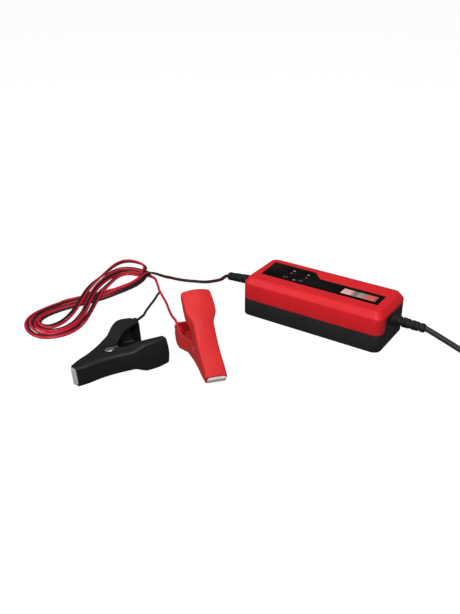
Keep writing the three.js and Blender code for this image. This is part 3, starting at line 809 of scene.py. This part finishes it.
def badge_material():
    """Plain colour blocks along X: pale, grey, then orange red, under a black edge."""
    n = Nodes("badge_plastic")
    apart = n.node("ShaderNodeSeparateXYZ")
    n.link(n.place, apart.inputs[0])
    ramp = n.node("ShaderNodeValToRGB")
    ramp.color_ramp.interpolation = "LINEAR"
    stops = [(0.0, (232, 176, 172)), (0.26, (226, 160, 158)), (0.33, (138, 112, 110)), (0.42, (92, 76, 78))]
    stops += [(0.5, (158, 134, 136)), (0.66, (142, 104, 102)), (0.74, (204, 78, 56)), (0.9, (214, 62, 46))]
    stops += [(1.0, (120, 34, 34))]
    elements = ramp.color_ramp.elements
    elements[0].position, elements[0].color = stops[0][0], linear(*stops[0][1])
    elements[1].position, elements[1].color = stops[-1][0], linear(*stops[-1][1])
    for position, colour in stops[1:-1]:
        elements.new(position).color = linear(*colour)
    left = (BADGE["x"] - BADGE["length"] / 2) * MM
    right = (BADGE["x"] + BADGE["length"] / 2) * MM
    n.link(n.ranged(apart.outputs[0], 0.0, 1.0, left, right), ramp.inputs[0])
    worn = n.mixed(n.ranged(n.noise(1400.0, 3.0), 0.0, 0.14), ramp.outputs[0], linear(236, 228, 226))
    n.link(worn, n.shader.inputs["Base Color"])
    n.link(n.ranged(n.noise(300.0, 3.0), 0.25, 0.4), n.shader.inputs["Roughness"])
    n.link(n.bump(n.noise(1200.0, 2.0), 0.00001, 0.4), n.shader.inputs["Normal"])
    return n.material


def badge():
    top = CASE["height"] + 0.1
    plate = badge_block("badge", 0.0, top - 0.9, top)
    return soften(plate, 0.9, 3, 30.0)


def lens(name, x, y):
    z = CASE["height"] + 0.3
    rings = [(2.1, 34.6), (2.1, 37.2), (2.0, 37.4), (1.5, 37.4), (1.5, z - 0.6), (1.42, z - 0.3)]
    rings += [(1.15, z - 0.1), (0.7, z), (0.05, z + 0.03)]
    return move(turned(name, rings, 28), Matrix.Translation((x, y, 0)))


dress(lower_shell(), ROOT, "black_plastic", ["lower_shell"])
dress(upper_shell(), ROOT, "red_plastic", ["upper_shell"])
dress(panel(), ROOT, "panel_black", ["overlay_panel"], panel_material())
dress(badge(), ROOT, "badge_plastic", ["badge_plate"], badge_material())
for number, (x, y, tint) in enumerate(LIGHTS):
    dress(lens(f"lens_{number + 1}", x, y), ROOT, f"{tint}_lens", [f"status_light_{number + 1}"])


def mark(name, shape, slot, colour):
    """Thin printed mark on the panel."""
    top = CASE["height"] + 0.1
    thing = stack(name, [[(x, y, z) for x, y in shape] for z in (top - 0.05, top + 0.05)])
    paint = surface(name + "_ink", colour, 0.35, vary=0.12, grain_depth=0.000008)
    return dress(thing, ROOT, slot, material=paint)


def bar(x, y, length, width):
    u, v = length / 2, width / 2
    return [(x - u, y - v), (x + u, y - v), (x + u, y + v), (x - u, y + v)]


def marks():
    pale = linear(104, 94, 96)
    rose = linear(112, 66, 72)
    # Battery sign under the lower lights: a case outline with two posts.
    battery = [(-38.6, -6.2, 5.0, 0.5), (-38.6, -8.6, 5.0, 0.5)]
    battery += [(-40.9, -7.4, 0.5, 2.6), (-36.3, -7.4, 0.5, 2.6)]
    battery += [(-40.0, -5.6, 1.1, 0.8), (-37.2, -5.6, 1.1, 0.8)]
    for number, (x, y, length, width) in enumerate(battery):
        mark(f"battery_mark_{number + 1}", bar(x, y, length, width), "badge_plastic", rose)
    # Charge level bars beside it.
    for number in range(3):
        step = bar(-23.4 + 1.7 * number, -6.8, 0.9, 1.4 + 0.7 * number)
        mark(f"level_mark_{number + 1}", step, "badge_plastic", pale)


marks()

# ---------- clamps ----------
LENGTH = 80.0
PIVOT = 38.0
COVER_WALL = 1.6
STATIONS = [0, 8, 20, 32, 44, 56, 68, 80]
MOVING = {
    "outside": [4.1, 7.4, 9.6, 13.3, 18.6, 24.2, 28.2, 29.8],
    "edge": [0.4, 0.4, 0.4, 0.4, 4, 14.5, 20, 24.5],
}
WIRED = {
    "outside": [4.1, 7.4, 9.6, 13.3, 18.6, 24.2, 28.8, 23.5],
    "edge": [0.4, 0.4, 0.4, 0.4, 1.5, 6.5, 10, 11.5],
}
JAW_HALF_WIDTH = 9.8
FLARE = {"from": 48.0, "length": 12.0, "gain": 4.5}
TAPER = {"from": 66.0, "length": 14.0, "loss": 0.4}
EYE_CLEARANCE = 4.9
BOSS = {"x0": 74.0, "x1": 83.0, "y": 19.0, "z": 10.4, "radius": 3.3}


def smooth(t):
    t = min(max(t, 0.0), 1.0)
    return t * t * (3 - 2 * t)


def at(values, x):
    """Value at x on a smooth curve through the stations."""
    x = min(max(x, STATIONS[0]), STATIONS[-1])
    k = max(i for i in range(len(STATIONS) - 1) if STATIONS[i] <= x)
    slope = [0.0] * len(STATIONS)
    for i in range(len(STATIONS)):
        low, high = max(i - 1, 0), min(i + 1, len(STATIONS) - 1)
        slope[i] = (values[high] - values[low]) / (STATIONS[high] - STATIONS[low])
    flat_from = [i for i in range(len(values) - 1) if values[i] == values[i + 1]]
    for i in flat_from:
        slope[i] = 0.0
        slope[i + 1] = 0.0 if i + 1 in flat_from else slope[i + 1]
    step = STATIONS[k + 1] - STATIONS[k]
    t = (x - STATIONS[k]) / step
    a, b = values[k], values[k + 1]
    h = (2 * t**3 - 3 * t**2 + 1) * a + (t**3 - 2 * t**2 + t) * step * slope[k]
    return h + (-2 * t**3 + 3 * t**2) * b + (t**3 - t**2) * step * slope[k + 1]


def half_width(x):
    flare = FLARE["gain"] * smooth((x - FLARE["from"]) / FLARE["length"])
    taper = TAPER["loss"] * smooth((x - TAPER["from"]) / TAPER["length"])
    return JAW_HALF_WIDTH + flare - taper


def crown(x):
    return 0.5 + 1.5 * smooth((x - 30) / 50)


def cover_section(x, lever, inner):
    """Half of the cover's section at x, from the free edge up the side and over to the middle."""
    wall = COVER_WALL if inner else 0.0
    w = half_width(x) - wall
    top = at(lever["outside"], x) - wall
    bottom = at(lever["edge"], x)
    radius = min(1.6 if inner else 2.9 - 0.7 * smooth((x - 40) / 40), (top - bottom) * 0.45)
    points = [(w, bottom)]
    for share in (0.2, 0.4, 0.6, 0.8):
        points.append((w, bottom + (top - radius - bottom) * share))
    for i in range(6):
        angle = math.radians(18 * i)
        points.append((w - radius + radius * math.cos(angle), top - radius + radius * math.sin(angle)))
    flat = w - radius
    for share in (0.75, 0.5, 0.25):
        points.append((flat * share, top + crown(x) * (1 - share**2)))
    return points


def clamp_cover(name, wired):
    """Moulded cover: a crowned channel, closed and rounded at the handle's end, open at the tip."""
    lever = WIRED if wired else MOVING
    reach, most = (3.5, 1.6) if wired else (2.2, 1.0)
    xs = list(np.linspace(0.0, LENGTH - reach, 48))
    xs += [LENGTH - reach * (1 - math.sin(math.radians(angle))) for angle in (15, 30, 45, 60, 75, 90)]
    rings = []
    for x in xs:
        pull = max(0.0, (x - LENGTH + reach) / reach)
        inset = most * (1 - math.sqrt(max(0.0, 1 - pull * pull)))
        outer = cover_section(x, lever, False)
        top_middle = at(lever["outside"], x) + crown(x)
        outer_full = outer + [(0.0, top_middle)] + [(-z, y) for z, y in reversed(outer)]
        free_edge = at(lever["edge"], x)
        lower = 1 - inset * 0.8 / max(top_middle - free_edge, 1)
        narrower = 1 - inset / half_width(x)
        rings.append([(x, free_edge + (y - free_edge) * lower, z * narrower) for z, y in outer_full])
    solid_body = stack(name, rings, True, 45.0)
    inner_rings = []
    for x in np.linspace(-1.0, LENGTH - COVER_WALL - 0.2, 40):
        inner = cover_section(max(x, 0.0), lever, True)
        if wired:
            narrower = 1 - most * max(0.0, (x - LENGTH + reach) / reach) ** 2 / half_width(x)
            inner = [(z * narrower, y) for z, y in inner]
        inner[0] = (inner[0][0], at(lever["edge"], x) - 3.0)
        full = inner + [(0.0, inner[-1][1] + 0.1)] + [(-z, y) for z, y in reversed(inner)]
        inner_rings.append([(x, y, z) for z, y in full])
    combine(solid_body, stack("inner", inner_rings, True), "DIFFERENCE")
    # Round clearance for the hinge pin and its eyes.
    hole = turned("hinge_hole", [(EYE_CLEARANCE, -20), (EYE_CLEARANCE, 20)], 40)
    move(hole, Matrix.Translation((PIVOT, 0, 0)))
    combine(solid_body, hole, "DIFFERENCE")
    return solid_body


def wire_boss(name):
    """Sleeve that the wire enters, on a web inside the handle's end."""
    x0, x1, radius = BOSS["x0"], BOSS["x1"], BOSS["radius"]
    web = block(name, x0 - 1.0, LENGTH - 1.6, 17.6, 23.5, 7.0, 12.6)
    profile = [(radius, x0), (radius, x1 - 1.6), (radius - 0.5, x1 - 0.5), (radius - 1.2, x1)]
    sleeve = turned("sleeve", profile, 32)
    move(sleeve, Matrix.Translation((0, BOSS["y"], BOSS["z"])) @ Matrix.Rotation(math.pi / 2, 4, "Y"))
    combine(web, sleeve, "UNION")
    return soften(web, 0.4, 2, 50.0)


def spring_coil(turns=4.6, radius=3.05, wire=0.55):
    """Coil of the torsion spring round the pin, with the leg that lies in the wired lever."""
    points = [(PIVOT + 13.5, 15.2, 2.9), (PIVOT + 9.0, 10.8, 2.9), (PIVOT + 4.4, 5.9, 2.9)]
    start = math.radians(118)
    steps = int(turns * 22)
    for i in range(steps + 1):
        share = i / steps
        angle = start - 2 * math.pi * turns * share
        points.append((PIVOT + radius * math.cos(angle), radius * math.sin(angle), 2.8 - 5.6 * share))
    return evened(np.array(points), 0.7), wire


def clamp(colour):
    matrix = clamp_matrix(colour)
    flip = Matrix.Rotation(math.pi, 4, "X")
    plastic = f"clamp_{colour}_plastic"
    moving = f"{colour}_moving_lever"
    wired = clamp_cover(f"{colour}_wired_lever_cover", True)
    combine(wired, wire_boss("boss"), "UNION")
    move(wired, matrix)
    dress(wired, ROOT, plastic, [f"{colour}_clamp_wired_cover"])
    free = clamp_cover(f"{colour}_moving_lever_cover", False)
    move(free, matrix @ flip)
    dress(free, moving, plastic, [f"{colour}_clamp_moving_cover"])
    head = [(0.02, -8.9), (1.6, -8.85), (2.6, -8.55), (3.2, -8.1), (3.4, -7.65), (1.6, -7.6), (1.6, 7.6)]
    head += [(3.4, 7.65), (3.2, 8.1), (2.6, 8.55), (1.6, 8.85), (0.02, 8.9)]
    pin = turned(f"{colour}_rivet", head, 36)
    move(pin, matrix @ Matrix.Translation((PIVOT, 0, 0)))
    dress(pin, ROOT, "pin_steel", [f"{colour}_clamp_pivot_pin"])
    points, wire = spring_coil()
    coil = tube(f"{colour}_spring_coil", points, wire, 10)
    move(coil, matrix)
    dress(coil, ROOT, "spring_steel", [f"{colour}_clamp_spring"])
    leg_route = [(PIVOT + 0.6, 3.05, 3.4), (PIVOT + 4.6, 6.1, 3.2), (PIVOT + 13.5, 15.2, 2.9)]
    leg = tube(f"{colour}_spring_leg", evened(np.array(leg_route), 0.9), wire, 10)
    move(leg, matrix @ flip)
    dress(leg, moving, "spring_steel", [f"{colour}_clamp_spring"])
    return wired, free, pin, coil, leg


black_clamp = clamp("black")
red_clamp = clamp("red")

# ---------- plug and the coil's tie ----------
PLUG_TAIL = (209.8, 21.5)
PLUG_Z = COIL["z"] + 2 * COIL["half"] + 7.3
PLUG_HEADING = 82.0


def plug_body():
    """Moulded two-pin plug: a ribbed neck that widens into a flat-sided grip."""
    count = 48
    rings = []
    for x in np.linspace(0.0, 35.0, 64):
        spread = smooth((x - 7.0) / 15.0)
        half_y = 4.2 + 8.8 * spread - 0.5 * smooth((x - 26.0) / 9.0)
        half_z = 4.0 + 2.8 * smooth((x - 3.0) / 16.0)
        power = 2.0 + 2.6 * spread
        edge = 1.0
        if x > 33.6:
            edge = 1.0 - 0.1 * ((x - 33.6) / 1.4) ** 2
        if x < 0.6:
            edge = 0.86 + 0.14 * (x / 0.6)
        if 14.0 < x < 30.0:
            edge -= 0.012 * (1 + math.cos((x - 14.0) * 2 * math.pi / 2.0))
        ring = []
        for i in range(count):
            angle = 2 * math.pi * i / count
            c, s = math.cos(angle), math.sin(angle)
            y = half_y * edge * math.copysign(abs(c) ** (2 / power), c)
            z = half_z * edge * math.copysign(abs(s) ** (2 / power), s)
            ring.append((x, y, z))
        rings.append(ring)
    return stack("plug", rings, True, 45.0)


def plug_pin(name, y):
    profile = [(2.4, 33.8), (2.4, 35.2), (2.0, 35.3), (2.0, 44.8), (1.9, 45.0), (1.9, 52.6)]
    profile += [(1.6, 53.5), (0.9, 54.0), (0.05, 54.1)]
    pin = turned(name, profile, 28)
    return move(pin, Matrix.Translation((0, y, 0)) @ Matrix.Rotation(math.pi / 2, 4, "Y"))


def pin_material(matrix):
    """Plated pin with a black sleeve over its half next to the plug."""
    n = Nodes("pin_finish")
    n.shader.inputs["Specular IOR Level"].default_value = 0.5
    along = n.node("ShaderNodeVectorMath", operation="DOT_PRODUCT")
    direction = matrix.to_3x3() @ Vector((1, 0, 0))
    n.link(n.place, along.inputs[0])
    along.inputs[1].default_value = direction
    start = direction.dot(matrix.translation) * MM
    bare = n.ranged(along.outputs["Value"], 0.0, 1.0, start + 0.0448, start + 0.045)
    n.link(n.mixed(bare, linear(34, 34, 35), linear(206, 203, 196)), n.shader.inputs["Base Color"])
    n.link(n.ranged(bare, 0.0, 1.0, 0.0, 1.0), n.shader.inputs["Metallic"])
    n.link(n.ranged(n.noise(500.0), 0.22, 0.4), n.shader.inputs["Roughness"])
    n.link(n.bump(n.noise(1500.0), 0.00001, 0.5), n.shader.inputs["Normal"])
    return n.material


plug_matrix = Matrix.Translation((*PLUG_TAIL, PLUG_Z)) @ Matrix.Rotation(math.radians(PLUG_HEADING), 4, "Z")
plug = dress(move(plug_body(), plug_matrix), ROOT, "plug_plastic", ["plug_body"])
pin_finish = pin_material(plug_matrix)
for number, y in enumerate((9.3, -9.3)):
    pin = move(plug_pin(f"pin_{number + 1}", y), plug_matrix)
    dress(pin, ROOT, "plated_brass", [f"plug_pin_{number + 1}"], pin_finish)


def coil_tie():
    """Soft strap wound once round the coil's section, with its overlapping end."""
    inner = COIL["half"] + 0.25
    x = COIL["x"] - COIL["radius"]
    middle = COIL["z"] + COIL["half"]
    corner = 3.0
    rings = []
    for thick in (0.0, 0.85):
        half = inner + thick
        radius = corner + thick
        for y in ((-3.9, 3.9) if thick == 0.0 else (3.9, -3.9)):
            ring = []
            for sx, sz, start in ((1, 1, 0), (-1, 1, 90), (-1, -1, 180), (1, -1, 270)):
                for i in range(9):
                    angle = math.radians(start + 11.25 * i)
                    u = sx * (half - radius) + radius * math.cos(angle)
                    v = sz * (half - radius) + radius * math.sin(angle)
                    ring.append((x + u, COIL["y"] + y, middle + v))
            rings.append(ring)
    strap = looped("tie", rings, 50.0)
    top = middle + inner
    end = block("tie_end", x - 5.0, x + 5.6, COIL["y"] - 3.6, COIL["y"] + 3.6, top + 0.7, top + 1.5)
    combine(strap, end, "UNION")
    return soften(strap, 0.2, 2, 40.0)


tie = dress(coil_tie(), ROOT, "tie_plastic", ["coil_tie"])

# ---------- carried-over CAD nodes ----------
for row in frame["record"]["subparts"]:
    node = frame["nodes"][row["node"]]
    if row["material_slot"] in MATERIALS:
        node.data.materials.clear()
        node.data.materials.append(MATERIALS[row["material_slot"]])
    node.data.shade_smooth()
    node.data.set_sharp_from_angle(angle=math.radians(32))

# ---------- floor and light ----------
WHITE = (1.0, 1.0, 1.0, 1.0)


def studio_floor():
    """Pale floor that curves up into a pale wall all round, so that every view has the same ground."""
    profile = [(0.01, 0), (2500, 0), (6500, 0), (7100, 100), (7600, 400)]
    profile += [(7900, 900), (8000, 1500), (8000, 9000)]
    rings = [circle(64, r, z) for r, z in profile]
    thing = stack("floor", rings, False)
    n = Nodes("floor")
    tone = n.mixed(n.ranged(n.noise(3.0), 0.0, 1.0), shade(WHITE, 0.11), shade(WHITE, 0.13))
    n.link(tone, n.shader.inputs["Base Color"])
    n.shader.inputs["Roughness"].default_value = 0.9
    n.shader.inputs["Specular IOR Level"].default_value = 0.0
    n.shader.inputs["Emission Color"].default_value = WHITE
    n.shader.inputs["Emission Strength"].default_value = 0.95
    thing.data.materials.append(n.material)
    thing.visible_diffuse = False
    thing.visible_glossy = False


def softbox(name, place, target, width, height, power):
    data = bpy.data.lights.new(name, "AREA")
    data.shape = "RECTANGLE"
    data.size = width
    data.size_y = height
    data.energy = power
    lamp = bpy.data.objects.new(name, data)
    lamp.location = place
    aim = Vector(target) - Vector(place)
    lamp.rotation_euler = aim.to_track_quat("-Z", "Y").to_euler()
    bpy.context.scene.collection.objects.link(lamp)


def lights():
    world = bpy.data.worlds.new("studio")
    world.use_nodes = True
    background = world.node_tree.nodes["Background"]
    background.inputs["Color"].default_value = WHITE
    background.inputs["Strength"].default_value = 0.14
    bpy.context.scene.world = world
    softbox("key", (0.62, -1.15, 1.05), (-0.03, -0.06, 0.02), 1.0, 0.8, 24.0)
    softbox("left", (-0.95, -1.1, 0.95), (-0.03, -0.06, 0.02), 0.8, 0.7, 8.0)
    softbox("top", (0.0, 0.0, 1.7), (-0.03, -0.06, 0.0), 1.2, 1.2, 9.0)


studio_floor()
lights()
bpy.context.scene.view_settings.view_transform = "Standard"
